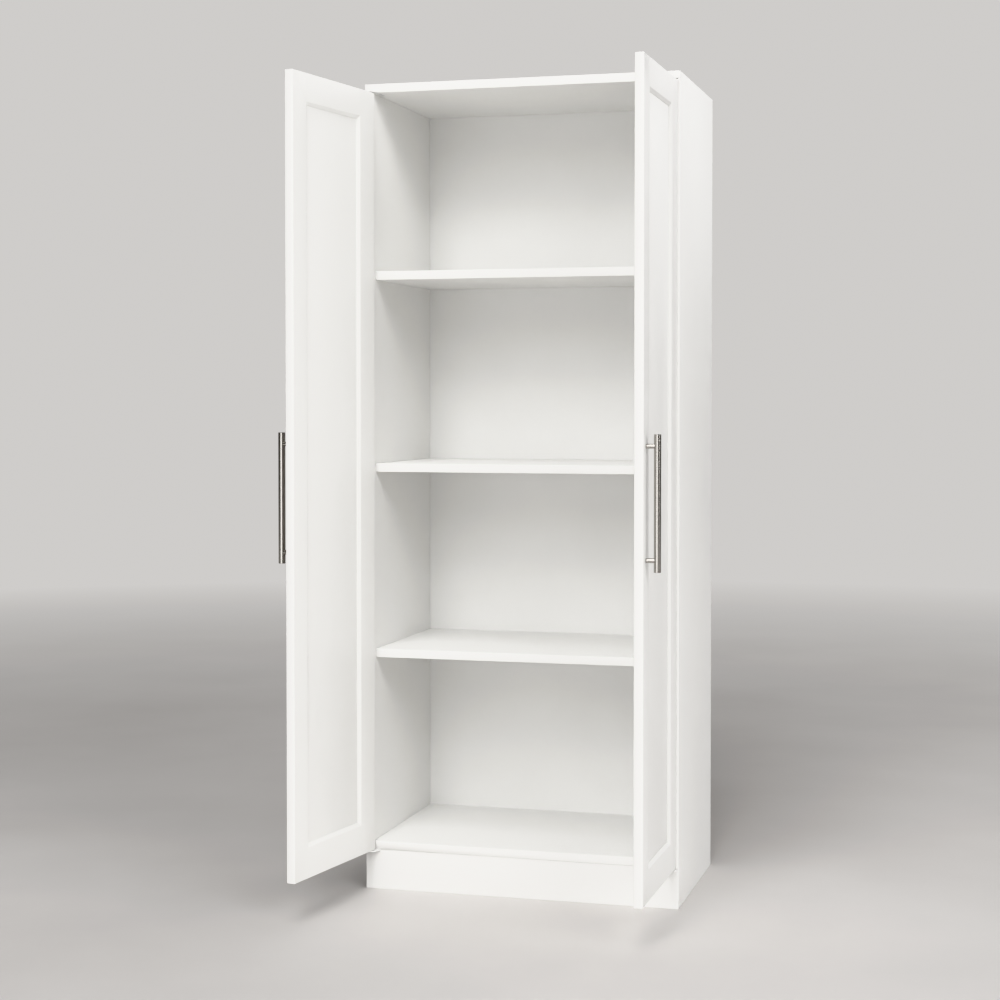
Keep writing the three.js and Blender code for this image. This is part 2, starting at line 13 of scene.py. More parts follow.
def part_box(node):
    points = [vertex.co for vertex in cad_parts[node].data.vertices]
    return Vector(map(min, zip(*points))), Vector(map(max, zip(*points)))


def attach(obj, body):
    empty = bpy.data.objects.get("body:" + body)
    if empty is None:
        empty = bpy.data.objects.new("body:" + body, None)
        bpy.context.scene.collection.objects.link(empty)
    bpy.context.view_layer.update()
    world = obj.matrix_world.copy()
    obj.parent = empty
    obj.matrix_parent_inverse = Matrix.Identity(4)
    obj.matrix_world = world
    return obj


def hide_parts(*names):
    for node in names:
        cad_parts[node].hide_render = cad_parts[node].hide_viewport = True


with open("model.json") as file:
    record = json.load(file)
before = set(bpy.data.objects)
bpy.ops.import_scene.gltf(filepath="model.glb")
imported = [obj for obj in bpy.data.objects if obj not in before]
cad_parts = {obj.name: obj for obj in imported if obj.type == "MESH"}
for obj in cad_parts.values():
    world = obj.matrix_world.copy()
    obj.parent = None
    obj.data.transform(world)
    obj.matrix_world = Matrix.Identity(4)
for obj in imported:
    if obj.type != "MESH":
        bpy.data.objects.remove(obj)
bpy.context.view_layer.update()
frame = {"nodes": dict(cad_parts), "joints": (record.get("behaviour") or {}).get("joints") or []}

# ---------------------------------------------------------------------------------------------
# Side panels. Two boards of 16 mm fibreboard, lacquered white on every face and cut edge. They
# stand on the floor, and the other boards are glued into housings cut across their inner faces.
# ---------------------------------------------------------------------------------------------
BOARD_ARRIS = 0.0009
JOINT_GAP = 0.0002
ARRIS_ROUNDS = 3
SOFT_ANGLE = math.radians(20)
FLAT_ANGLE = math.radians(1)
WELD = 2e-5
ON_FACE = 4e-5
LACQUER_WHITE = (0.872, 0.868, 0.852)
ORANGE_PEEL_HEIGHT = 0.000035
DUST_NIB_HEIGHT = 0.000012


def new_material(name, roughness, metallic=0.0):
    """A material with one Principled shader, returned with its nodes, its links and the shader."""
    material = bpy.data.materials.new(name)
    material.use_nodes = True
    shader = material.node_tree.nodes["Principled BSDF"]
    shader.inputs["Roughness"].default_value = roughness
    shader.inputs["Metallic"].default_value = metallic
    return material, material.node_tree.nodes, material.node_tree.links, shader


def grain(nodes, links, scale, stretch=(1, 1, 1), detail=3.0, roughness=0.5):
    """A noise pattern in the piece's own coordinates, stretched along its axes."""
    coordinates = nodes.new("ShaderNodeTexCoord")
    mapping = nodes.new("ShaderNodeMapping")
    mapping.inputs["Scale"].default_value = stretch
    noise = nodes.new("ShaderNodeTexNoise")
    noise.inputs["Scale"].default_value = scale
    noise.inputs["Detail"].default_value = detail
    noise.inputs["Roughness"].default_value = roughness
    links.new(coordinates.outputs["Object"], mapping.inputs["Vector"])
    links.new(mapping.outputs["Vector"], noise.inputs["Vector"])
    return noise.outputs["Fac"]


def spread(nodes, links, value, low, high, start=0.3, end=0.7):
    """The pattern's value, brought between low and high."""
    fit = nodes.new("ShaderNodeMapRange")
    fit.inputs["From Min"].default_value = start
    fit.inputs["From Max"].default_value = end
    fit.inputs["To Min"].default_value = low
    fit.inputs["To Max"].default_value = high
    links.new(value, fit.inputs["Value"])
    return fit.outputs["Result"]


def tint(nodes, links, value, low, high, start=0.3, end=0.7):
    """A colour between low and high, as the pattern goes."""
    ramp = nodes.new("ShaderNodeValToRGB")
    ramp.color_ramp.elements[0].position = start
    ramp.color_ramp.elements[0].color = (*low, 1)
    ramp.color_ramp.elements[1].position = end
    ramp.color_ramp.elements[1].color = (*high, 1)
    links.new(value, ramp.inputs["Fac"])
    return ramp.outputs["Color"]


def relief(nodes, links, shader, *layers):
    """Bump from layers of (pattern, height in metres), the first one lowest."""
    below = None
    for value, height in layers:
        bump = nodes.new("ShaderNodeBump")
        bump.inputs["Distance"].default_value = height
        links.new(value, bump.inputs["Height"])
        if below is not None:
            links.new(below, bump.inputs["Normal"])
        below = bump.outputs["Normal"]
    links.new(below, shader.inputs["Normal"])


def shade(colour, factor):
    """A colour made darker or lighter by a factor."""
    return tuple(channel * factor for channel in colour)


def make_lacquer():
    """Sprayed satin lacquer: faint orange peel, a little dust nib, and slow drifts in its gloss."""
    material, nodes, links, shader = new_material("white_lacquer", roughness=0.42)
    drift = grain(nodes, links, scale=5.0, detail=2.0)
    colour = tint(nodes, links, drift, shade(LACQUER_WHITE, 0.985), LACQUER_WHITE)
    links.new(colour, shader.inputs["Base Color"])
    haze = grain(nodes, links, scale=26.0, detail=4.0)
    links.new(spread(nodes, links, haze, 0.38, 0.47), shader.inputs["Roughness"])
    orange_peel = grain(nodes, links, scale=420.0, detail=1.5)
    nib = grain(nodes, links, scale=1900.0, detail=1.0)
    relief(nodes, links, shader, (orange_peel, ORANGE_PEEL_HEIGHT), (nib, DUST_NIB_HEIGHT))
    return material


def welded(node):
    """A CAD node's solid as one welded bmesh, with each flat face whole again."""
    solid = bmesh.new()
    solid.from_mesh(frame["nodes"][node].data)
    for face in solid.faces:
        face.smooth = True
    bmesh.ops.remove_doubles(solid, verts=solid.verts, dist=WELD)
    bmesh.ops.dissolve_limit(
        solid, angle_limit=FLAT_ANGLE, verts=solid.verts, edges=solid.edges
    )
    solid.normal_update()
    return solid


def box_faces(points):
    """The box round some points, as (axis, place) for each of its six faces."""
    places = np.array([tuple(point) for point in points])
    corners = (places.min(0), places.max(0))
    return [(axis, place) for corner in corners for axis, place in enumerate(corner)]


def faces_touched(point, faces):
    """The faces of a box that a point lies on."""
    return {face for face in faces if abs(point[face[0]] - face[1]) < ON_FACE}


def eased(solid, name, material, arris, arris_share):
    """Finishes a piece: each edge is rounded by arris times its arris_share, from 0 to 1."""
    mesh = bpy.data.meshes.new(name)
    weights = solid.edges.layers.float.new("bevel_weight_edge")
    for edge in solid.edges:
        edge[weights] = arris_share(edge)
        edge.smooth = edge[weights] > 0 or edge.calc_face_angle(math.pi) < SOFT_ANGLE
    solid.to_mesh(mesh)
    solid.free()
    mesh.materials.append(material)
    piece = bpy.data.objects.new(name, mesh)
    bpy.context.scene.collection.objects.link(piece)
    rounding = piece.modifiers.new("eased arrises", "BEVEL")
    rounding.limit_method = "WEIGHT"
    rounding.width = arris
    rounding.segments = ARRIS_ROUNDS
    rounding.harden_normals = True
    rounding.use_clamp_overlap = False
    return piece


def outer_arris(faces, housed=False):
    """Picks the edges on two faces of a piece's box, but not a housed board's end edges."""

    def share(edge):
        shared = faces_touched(edge.verts[0].co, faces) & faces_touched(edge.verts[1].co, faces)
        if housed and any(axis == 0 for axis, _ in shared):
            return 0.0
        return 1.0 if len(shared) >= 2 else 0.0

    return share


def drawn_in(solid):
    """Lets a housed board's ends right into their housings, over the CAD model's gap there."""
    left = min(vertex.co.x for vertex in solid.verts)
    right = max(vertex.co.x for vertex in solid.verts)
    for vertex in solid.verts:
        if vertex.co.x < left + ON_FACE:
            vertex.co.x -= JOINT_GAP
        elif vertex.co.x > right - ON_FACE:
            vertex.co.x += JOINT_GAP


def stand_for(piece, node, body):
    """Hangs a piece on its body in place of a CAD node, and hides that node."""
    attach(piece, body)
    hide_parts(node)


def make_board(node, name, material, housed=False):
    """A carcass board with the shape of its CAD node and soft outer arrises."""
    solid = welded(node)
    if housed:
        drawn_in(solid)
    arris_share = outer_arris(box_faces([vertex.co for vertex in solid.verts]), housed)
    piece = eased(solid, name, material, BOARD_ARRIS, arris_share)
    stand_for(piece, node, "carcass")
    return piece


lacquer = make_lacquer()
for side in ("left", "right"):
    make_board(f"{side}_side_panel", f"{side}_side", lacquer)

# ---------------------------------------------------------------------------------------------
# Bottom, shelves and top. Lacquered fibreboard, glued into the sides' housings. The bottom and
# the top come out level with the sides' front edges, and the shelves stop a little behind them.
# ---------------------------------------------------------------------------------------------
for node, name in (
    ("bottom_panel", "cabinet_floor"),
    ("lower_shelf", "first_shelf"),
    ("middle_shelf", "second_shelf"),
    ("upper_shelf", "third_shelf"),
    ("top_panel", "cabinet_top"),
):
    make_board(node, name, lacquer, housed=True)

# ---------------------------------------------------------------------------------------------
# Plinth. Two lacquered boards on edge under the bottom panel: one right across the front, let
# into the sides' front feet, and one between the sides at the back.
# ---------------------------------------------------------------------------------------------
make_board("plinth_board", "front_plinth", lacquer)
make_board("rear_plinth_board", "rear_plinth", lacquer)

# ---------------------------------------------------------------------------------------------
# Back sheet. 3 mm hardboard in rebates at the back of the sides, white on the face that shows
# inside and left brown behind, with the fine mesh mark of the screen that it was pressed on.
# ---------------------------------------------------------------------------------------------
SHEET_WHITE = (0.86, 0.857, 0.842)
HARDBOARD_BROWN = (0.40, 0.275, 0.175)
SCREEN_PITCH = 0.0012
SCREEN_MARK_DEPTH = 0.00006
ROLLED_FIBRE_HEIGHT = 0.00002
BARE_FIBRE_HEIGHT = 0.00004
CLOUD_GREYS = ((0.86, 0.86, 0.86), (1.0, 1.0, 1.0))
MIX_A, MIX_B, MIX_RESULT = 6, 7, 2  # the colour sockets of a Mix node


def make_sheet_white():
    """A thin rolled-on white, flatter than the lacquer, with the fibres just showing through."""
    material, nodes, links, shader = new_material("white_rolled_paint", roughness=0.5)
    mottle = grain(nodes, links, scale=9.0, detail=5.0)
    colour = tint(nodes, links, mottle, shade(SHEET_WHITE, 0.98), SHEET_WHITE)
    links.new(colour, shader.inputs["Base Color"])
    fibres = grain(nodes, links, scale=900.0, stretch=(1, 1, 0.35), detail=3.0)
    relief(nodes, links, shader, (fibres, ROLLED_FIBRE_HEIGHT))
    return material


def make_hardboard():
    """Bare pressed fibre: matted light and dark fibres, over the mesh mark of the pressing screen."""
    material, nodes, links, shader = new_material("bare_hardboard", roughness=0.82)
    fibres = grain(nodes, links, scale=340.0, stretch=(1, 1, 0.5), detail=6.0, roughness=0.65)
    colour = tint(
        nodes, links, fibres, shade(HARDBOARD_BROWN, 0.72), shade(HARDBOARD_BROWN, 1.28)
    )
    blotches = grain(nodes, links, scale=7.0, detail=4.0)
    cloud = nodes.new("ShaderNodeMix")
    cloud.data_type = "RGBA"
    cloud.blend_type = "MULTIPLY"
    cloud.inputs["Factor"].default_value = 1.0
    links.new(colour, cloud.inputs[MIX_A])
    links.new(tint(nodes, links, blotches, *CLOUD_GREYS), cloud.inputs[MIX_B])
    links.new(cloud.outputs[MIX_RESULT], shader.inputs["Base Color"])
    coordinates = nodes.new("ShaderNodeTexCoord")
    heights = []
    for direction in ("X", "Z"):
        wires = nodes.new("ShaderNodeTexWave")
        wires.bands_direction = direction
        # a Wave texture of scale 1 has a band every pi / 10 metres
        wires.inputs["Scale"].default_value = math.pi / (10 * SCREEN_PITCH)
        links.new(coordinates.outputs["Object"], wires.inputs["Vector"])
        heights.append((wires.outputs["Fac"], SCREEN_MARK_DEPTH))
    relief(nodes, links, shader, *heights, (fibres, BARE_FIBRE_HEIGHT))
    return material


sheet_white = make_sheet_white()
hardboard = make_hardboard()
back_sheet = make_board("back_panel", "back_sheet", sheet_white)
back_sheet.data.materials.append(hardboard)
for face in back_sheet.data.polygons:
    looks_into_cabinet = face.normal.y < -0.5
    face.material_index = 0 if looks_into_cabinet else 1

# ---------------------------------------------------------------------------------------------
# Back nails. Small bright steel nails through the back sheet into the rear edges of the boards,
# a row to each board, driven in every 90 mm until their round heads lie flush in the sheet.
# ---------------------------------------------------------------------------------------------
NAIL_SPACING = 0.09
NAIL_HEAD_RADIUS = 0.0022
NAIL_HEAD_HEIGHT = 0.0005
NAIL_LENGTH = 0.012
NAIL_SHANK_RADIUS = 0.0007
NAIL_EDGE_INSET = 0.004
NAIL_HEAD_SIDES = 20
NAIL_SHANK_SIDES = 10
ZINC_DARK, ZINC_BRIGHT = (0.50, 0.51, 0.53), (0.66, 0.67, 0.68)
ZINC_GRAIN_HEIGHT = 0.000008


def make_zinc():
    """Zinc-plated steel: cool and bright, with the cloudy spangle of the plating bath."""
    material, nodes, links, shader = new_material("zinc_plated_steel", roughness=0.32, metallic=1.0)
    spangle = grain(nodes, links, scale=600.0, detail=2.0)
    links.new(
        tint(nodes, links, spangle, ZINC_DARK, ZINC_BRIGHT),
        shader.inputs["Base Color"],
    )
    links.new(spread(nodes, links, spangle, 0.26, 0.42), shader.inputs["Roughness"])
    relief(nodes, links, shader, (grain(nodes, links, scale=2500.0), ZINC_GRAIN_HEIGHT))
    return material


def new_tree(name, inputs):
    """A Geometry Nodes tree with one geometry in and out and named number inputs."""
    tree = bpy.data.node_groups.new(name, "GeometryNodeTree")
    tree.interface.new_socket("Geometry", in_out="INPUT", socket_type="NodeSocketGeometry")
    tree.interface.new_socket("Geometry", in_out="OUTPUT", socket_type="NodeSocketGeometry")
    for label, value in inputs.items():
        socket = tree.interface.new_socket(label, in_out="INPUT", socket_type="NodeSocketFloat")
        socket.default_value = value
    return tree


def node_in(tree, kind, **settings):
    """A new node in a tree, with some of its settings given by name."""
    node = tree.nodes.new(kind)
    for setting, value in settings.items():
        setattr(node, setting, value)
    return node


def cylinder(tree, given, radius, depth, sides, base=0.0, top=None):
    """A closed cylinder on +Z in a tree, or a cone where it has a top radius.

    Its radii and depth are names of the tree's inputs, and base is a height in metres.
    """
    cone = node_in(tree, "GeometryNodeMeshCone", fill_type="NGON")
    cone.inputs["Vertices"].default_value = sides
    tree.links.new(given.outputs[radius], cone.inputs["Radius Bottom"])
    tree.links.new(given.outputs[top or radius], cone.inputs["Radius Top"])
    tree.links.new(given.outputs[depth], cone.inputs["Depth"])
    moved = node_in(tree, "GeometryNodeTransform")
    moved.inputs["Translation"].default_value = (0, 0, base)
    tree.links.new(cone.outputs["Mesh"], moved.inputs["Geometry"])
    return moved.outputs["Geometry"]


def finish_tree(tree, instances, material):
    """Ends a tree: the copies are made real and given their material."""
    real = node_in(tree, "GeometryNodeRealizeInstances")
    dressed = node_in(tree, "GeometryNodeSetMaterial")
    dressed.inputs["Material"].default_value = material
    out = node_in(tree, "NodeGroupOutput")
    tree.links.new(instances, real.inputs["Geometry"])
    tree.links.new(real.outputs["Geometry"], dressed.inputs["Geometry"])
    tree.links.new(dressed.outputs["Geometry"], out.inputs["Geometry"])


def make_nail_tree(material):
    """Nails along the edges of the mesh that it is given, heads towards +Y and shanks into -Y."""
    tree = new_tree("nails_along_lines", {
        "Spacing": NAIL_SPACING,
        "Head radius": NAIL_HEAD_RADIUS,
        "Head height": NAIL_HEAD_HEIGHT,
        "Shank radius": NAIL_SHANK_RADIUS,
        "Length": NAIL_LENGTH,
    })
    link = tree.links.new
    given = node_in(tree, "NodeGroupInput")
    lines = node_in(tree, "GeometryNodeMeshToCurve")
    places = node_in(tree, "GeometryNodeCurveToPoints", mode="LENGTH")
    link(given.outputs["Geometry"], lines.inputs["Mesh"])
    link(lines.outputs["Curve"], places.inputs["Curve"])
    link(given.outputs["Spacing"], places.inputs["Length"])
    shank_base = NAIL_HEAD_HEIGHT / 2 - NAIL_LENGTH
    head = cylinder(tree, given, "Head radius", "Head height", NAIL_HEAD_SIDES)
    shank = cylinder(tree, given, "Shank radius", "Length", NAIL_SHANK_SIDES, base=shank_base)
    nail = node_in(tree, "GeometryNodeMeshBoolean", operation="UNION", solver="MANIFOLD")
    link(head, nail.inputs["Mesh 2"])
    link(shank, nail.inputs["Mesh 2"])
    placed = node_in(tree, "GeometryNodeInstanceOnPoints")
    placed.inputs["Rotation"].default_value = (-math.pi / 2, 0, 0)
    link(places.outputs["Points"], placed.inputs["Points"])
    link(nail.outputs["Mesh"], placed.inputs["Instance"])
    finish_tree(tree, placed.outputs["Instances"], material)
    return tree


def grown(name, tree, points, edges=()):
    """A plain mesh piece grown by a tree from points and the lines between them."""
    seed = bpy.data.meshes.new(f"{name}_places")
    seed.from_pydata([tuple(point) for point in points], list(edges), [])
    source = bpy.data.objects.new(f"{name}_source", seed)
    bpy.context.scene.collection.objects.link(source)
    modifier = source.modifiers.new(tree.name, "NODES")
    modifier.node_group = tree
    for item in tree.interface.items_tree:
        if item.in_out == "INPUT" and item.socket_type == "NodeSocketFloat":
            modifier[item.identifier] = item.default_value
    evaluated = source.evaluated_get(bpy.context.evaluated_depsgraph_get())
    mesh = bpy.data.meshes.new_from_object(evaluated)
    mesh.name = name
    piece = bpy.data.objects.new(name, mesh)
    bpy.context.scene.collection.objects.link(piece)
    bpy.data.objects.remove(source)
    return piece


zinc = make_zinc()
sheet_low, sheet_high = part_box("back_panel")
nail_y = sheet_high.y - NAIL_HEAD_HEIGHT
nail_points = []
for node in ("bottom_panel", "lower_shelf", "middle_shelf", "upper_shelf", "top_panel"):
    low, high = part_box(node)
    for x in (low.x + NAIL_SPACING / 2, high.x - NAIL_SPACING / 2):
        nail_points.append((x, nail_y, (low.z + high.z) / 2))
for x in (sheet_low.x + NAIL_EDGE_INSET, sheet_high.x - NAIL_EDGE_INSET):
    for z in (sheet_low.z + NAIL_SPACING / 2, sheet_high.z - NAIL_SPACING / 2):
        nail_points.append((x, nail_y, z))
nail_edges = [(start, start + 1) for start in range(0, len(nail_points), 2)]
nails = grown("back_nails", make_nail_tree(zinc), nail_points, nail_edges)
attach(nails, "carcass")

# ---------------------------------------------------------------------------------------------
# Hinge plates. Four flat steel plates, powder-coated white: a round head that carries the pivot
# pin, a curved slot that stops the door's swing, and a leaf with two countersunk screw holes.
# ---------------------------------------------------------------------------------------------
PLATE_ARRIS = 0.0003
FLAT_NORMAL_Z = 0.99
WALL_NORMAL_Z = 0.01
POWDER_DARK, POWDER_PALE = (0.80, 0.797, 0.785), (0.845, 0.842, 0.83)
POWDER_PEBBLE_HEIGHT = 0.00004


def make_powder_coat():
    """White powder coat: a fine even pebble, a little duller than the lacquer."""
    material, nodes, links, shader = new_material("white_powder_coat", roughness=0.5)
    speck = grain(nodes, links, scale=700.0, detail=3.0)
    links.new(
        tint(nodes, links, speck, POWDER_DARK, POWDER_PALE),
        shader.inputs["Base Color"],
    )
    pebble = grain(nodes, links, scale=1300.0, detail=2.0)
    relief(nodes, links, shader, (pebble, POWDER_PEBBLE_HEIGHT))
    return material


def flat_face_arris(edge):
    """Picks the arrises between a plate's flat faces and its walls."""
    slopes = [abs(face.normal.z) for face in edge.link_faces]
    return 1.0 if max(slopes) > FLAT_NORMAL_Z and min(slopes) < WALL_NORMAL_Z else 0.0


powder_coat = make_powder_coat()
for side in ("left", "right"):
    for end in ("bottom", "top"):
        node = f"{side}_{end}_hinge_plate"
        name = f"{side}_{end}_plate"
        plate = eased(welded(node), name, powder_coat, PLATE_ARRIS, flat_face_arris)
        stand_for(plate, node, "carcass")

# ---------------------------------------------------------------------------------------------
# Plate screws. Two countersunk steel screws with cross recesses hold each plate to its board,
# driven up from below, so that their heads lie flush in the plate's underside.
# ---------------------------------------------------------------------------------------------
SCREW_HEAD_RADIUS = 0.0034
SCREW_SHANK_RADIUS = 0.00175
SCREW_NECK_RADIUS = 0.0016
SCREW_HEAD_HEIGHT = 0.00175
SCREW_LENGTH = 0.0128
RECESS_WIDTH = 0.0008
RECESS_REACH = 0.0038
RECESS_DEPTH = 0.0011
SCREW_HEAD_SIDES = 32
SCREW_SHANK_SIDES = 16


def make_screw_tree(material):
    """A cross-recessed countersunk screw on each point of the mesh, head down and shank up."""
    tree = new_tree("countersunk_screws", {
        "Head radius": SCREW_HEAD_RADIUS,
        "Shank radius": SCREW_SHANK_RADIUS,
        "Head height": SCREW_HEAD_HEIGHT,
        "Neck radius": SCREW_NECK_RADIUS,
        "Length": SCREW_LENGTH - SCREW_HEAD_HEIGHT / 2,
        "Recess width": RECESS_WIDTH,
        "Recess reach": RECESS_REACH,
        "Recess depth": RECESS_DEPTH,
    })
    link = tree.links.new
    given = node_in(tree, "NodeGroupInput")
    head = cylinder(
        tree, given, "Head radius", "Head height", SCREW_HEAD_SIDES, top="Neck radius"
    )
    shank = cylinder(
        tree, given, "Shank radius", "Length", SCREW_SHANK_SIDES, base=SCREW_HEAD_HEIGHT / 2
    )
    blank = node_in(tree, "GeometryNodeMeshBoolean", operation="UNION", solver="MANIFOLD")
    link(head, blank.inputs["Mesh 2"])
    link(shank, blank.inputs["Mesh 2"])
    cut = node_in(tree, "GeometryNodeMeshBoolean", operation="DIFFERENCE", solver="MANIFOLD")
    link(blank.outputs["Mesh"], cut.inputs["Mesh 1"])
    for along_x, along_y in (("Recess reach", "Recess width"), ("Recess width", "Recess reach")):
        size = node_in(tree, "ShaderNodeCombineXYZ")
        link(given.outputs[along_x], size.inputs["X"])
        link(given.outputs[along_y], size.inputs["Y"])
        link(given.outputs["Recess depth"], size.inputs["Z"])
        bar = node_in(tree, "GeometryNodeMeshCube")
        link(size.outputs["Vector"], bar.inputs["Size"])
        link(bar.outputs["Mesh"], cut.inputs["Mesh 2"])
    whole = node_in(tree, "GeometryNodeMergeByDistance")
    whole.inputs["Distance"].default_value = WELD
    link(cut.outputs["Mesh"], whole.inputs["Geometry"])
    placed = node_in(tree, "GeometryNodeInstanceOnPoints")
    link(given.outputs["Geometry"], placed.inputs["Points"])
    link(whole.outputs["Geometry"], placed.inputs["Instance"])
    finish_tree(tree, placed.outputs["Instances"], material)
    return tree


screw_tree = make_screw_tree(zinc)
screw_nodes = [
    f"{side}_{end}_hinge_screw_{number}"
    for side in ("left", "right") for end in ("bottom", "top") for number in (1, 2)
]
screw_points = []
for node in screw_nodes:
    low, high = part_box(node)
    screw_points.append(((low.x + high.x) / 2, (low.y + high.y) / 2, low.z))
screws = grown("plate_screws", screw_tree, screw_points)
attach(screws, "carcass")
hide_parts(*screw_nodes)

# ---------------------------------------------------------------------------------------------
# Pivot pins, bushes and stop pins. Turned steel pins riveted in the plates stand in flanged
# nylon bushes pressed into the ends of the hinge stiles. A thin steel pin beside each bush runs
# in the plate's curved slot.
# ---------------------------------------------------------------------------------------------
TURNED_SIDES = 48
TURNED_SHARP_ANGLE = math.radians(35)
ON_AXIS = 1e-7
PIN_NOSE = 0.0012
STOP_PIN_NOSE = 0.0004
PIN_PLAY = 0.0001
FLANGE_HEIGHT = 0.0008
FLANGE_ROUND = 0.0002
SLEEVE_RADIUS = 0.004
NYLON_DARK, NYLON_PALE = (0.74, 0.725, 0.67), (0.80, 0.785, 0.73)
NYLON_GRAIN_HEIGHT = 0.000015


def make_nylon():
    """Natural nylon: milky, waxy and faintly mottled."""
    material, nodes, links, shader = new_material("natural_nylon", roughness=0.45)
    milk = grain(nodes, links, scale=260.0, detail=3.0)
    links.new(
        tint(nodes, links, milk, NYLON_DARK, NYLON_PALE),
        shader.inputs["Base Color"],
    )
    relief(nodes, links, shader, (grain(nodes, links, scale=1500.0), NYLON_GRAIN_HEIGHT))
    return material


def quarter(radius, height, size, steps=4):
    """Points of a rounded corner of a turned profile, from its side in to its end face."""
    turns = [math.pi / 2 * step / steps for step in range(steps + 1)]
    return [(radius - size + size * math.cos(t), height - size + size * math.sin(t)) for t in turns]


def stood(solid, name, material, start, axis):
    """A piece from a solid made along +Z at the origin, stood at start and along axis."""
    turned_to = Vector((0, 0, 1)).rotation_difference(Vector(axis)).to_matrix().to_4x4()
    solid.transform(Matrix.Translation(start) @ turned_to)
    mesh = bpy.data.meshes.new(name)
    solid.to_mesh(mesh)
    solid.free()
    mesh.materials.append(material)
    piece = bpy.data.objects.new(name, mesh)
    bpy.context.scene.collection.objects.link(piece)
    return piece


def turn(name, profile, material, start, axis=(0, 0, 1), sides=TURNED_SIDES, closed=False):
    """Turns (radius, height) points about axis from start. A closed profile makes a ring."""
    solid = bmesh.new()
    rings = []
    for radius, height in profile:
        if radius < ON_AXIS:
            rings.append([solid.verts.new((0, 0, height))])
            continue
        angles = [2 * math.pi * side / sides for side in range(sides)]
        rings.append([
            solid.verts.new((radius * math.cos(a), radius * math.sin(a), height)) for a in angles
        ])
    pairs = list(zip(rings, rings[1:]))
    if closed:
        pairs.append((rings[-1], rings[0]))
    for lower, upper in pairs:
        for side in range(sides):
            following = (side + 1) % sides
            corners = [
                lower[side % len(lower)], lower[following % len(lower)],
                upper[following % len(upper)], upper[side % len(upper)],
            ]
            face = list(dict.fromkeys(corners))
            if len(face) > 2:
                solid.faces.new(face)
    bmesh.ops.recalc_face_normals(solid, faces=solid.faces)
    piece = stood(solid, name, material, start, axis)
    piece.data.shade_smooth()
    piece.data.set_sharp_from_angle(angle=TURNED_SHARP_ANGLE)
    return piece


def middle(node):
    """The middle of a CAD node's box."""
    low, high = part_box(node)
    return (low + high) / 2


def upright_size(node):
    """The radius and length of a turned CAD node that stands on Z."""
    low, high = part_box(node)
    return (high.y - low.y) / 2, high.z - low.z


def foot_of(node, upward):
    """The middle of a CAD node's lower end, or of its upper end if it points down."""
    low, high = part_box(node)
    centre = middle(node)
    return Vector((centre.x, centre.y, low.z if upward else high.z))


nylon = make_nylon()
for side in ("left", "right"):
    for end, into_door in (("bottom", 1), ("top", -1)):
        stem = f"{side}_{end}_hinge"
        axis = (0, 0, into_door)
        upward = into_door > 0

        radius, length = upright_size(f"{stem}_pin")
        nose = quarter(radius, length, PIN_NOSE)
        pin = turn(
            f"{side}_{end}_pivot_pin", [(0, 0), (radius, 0), *nose, (0, length)],
            zinc, foot_of(f"{stem}_pin", upward), axis,
        )
        stand_for(pin, f"{stem}_pin", "carcass")

        bore_radius = radius + PIN_PLAY
        flange_radius, length = upright_size(f"{stem}_bush")
        rim = [
            (flange_radius - FLANGE_ROUND, 0), (flange_radius, FLANGE_ROUND),
            *quarter(flange_radius, FLANGE_HEIGHT, FLANGE_ROUND), (SLEEVE_RADIUS, FLANGE_HEIGHT),
        ]
        sleeve = [
            (SLEEVE_RADIUS, length - FLANGE_ROUND), (SLEEVE_RADIUS - FLANGE_ROUND, length),
            (bore_radius, length),
        ]
        bush = turn(
            f"{side}_{end}_pivot_bush", [(bore_radius, 0), *rim, *sleeve],
            nylon, foot_of(f"{stem}_bush", upward), axis, closed=True,
        )
        stand_for(bush, f"{stem}_bush", f"{side}_door")

        radius, length = upright_size(f"{stem}_stop_pin")
        nose = quarter(radius, length, STOP_PIN_NOSE)
        stop = turn(
            f"{side}_{end}_stop", [(0, 0), (radius, 0), *nose, (0, length)],
            zinc, foot_of(f"{stem}_stop_pin", not upward), (0, 0, -into_door),
        )
        stand_for(stop, f"{stem}_stop_pin", f"{side}_door")

# ---------------------------------------------------------------------------------------------
# Doors. Each is a frame of two stiles and two rails round a flat centre panel, all lacquered
# fibreboard. Stub tenons and glue hold the frame, and its inner edges slope down to the panel.
# ---------------------------------------------------------------------------------------------
DOOR_ARRIS = 0.0013
CREST_SHARE = 0.45
CREST_ANGLES = (math.radians(20), math.radians(50))
PANEL_SHARE = 0.3
HINGE_EDGE_WIDTH = 0.0031


def shut_frame(joint):
    """Takes points from a stored-open door to the shut door's frame, with the pivot at its origin."""
    axis = Vector(joint["axis"])
    opened = Matrix.Rotation(-math.radians(max(joint["range_deg"])), 4, axis)
    return opened.inverted() @ Matrix.Translation(-Vector(joint["pos_m"]))


def on_door_face(point, faces):
    """Whether a point of the shut door lies on its outer or its inner face."""
    return any(axis == 1 for axis, _ in faces_touched(point, faces))


def door_arris(to_shut, faces, hinge_x, crest_z):
    """Picks a door member's arrises: the door's outline in full, and the slopes' crests in part.

    Beyond the rails' crests at crest_z, a stile's crest lies under a rail's coped end.
    """

    def share(edge):
        ends = [to_shut @ vertex.co for vertex in edge.verts]
        touched = faces_touched(ends[0], faces) & faces_touched(ends[1], faces)
        if len(touched) >= 2:
            return 1.0
        on_door_end = any(axis == 2 for axis, _ in touched)
        if on_door_end and all(abs(point.x - hinge_x) < HINGE_EDGE_WIDTH for point in ends):
            return 1.0
        open_crest = all(crest_z[0] - ON_FACE < point.z < crest_z[1] + ON_FACE for point in ends)
        on_face = any(axis == 1 for axis, _ in touched)
        slope = edge.calc_face_angle(0)
        if open_crest and on_face and CREST_ANGLES[0] < slope < CREST_ANGLES[1]:
            return CREST_SHARE
        return 0.0

    return share


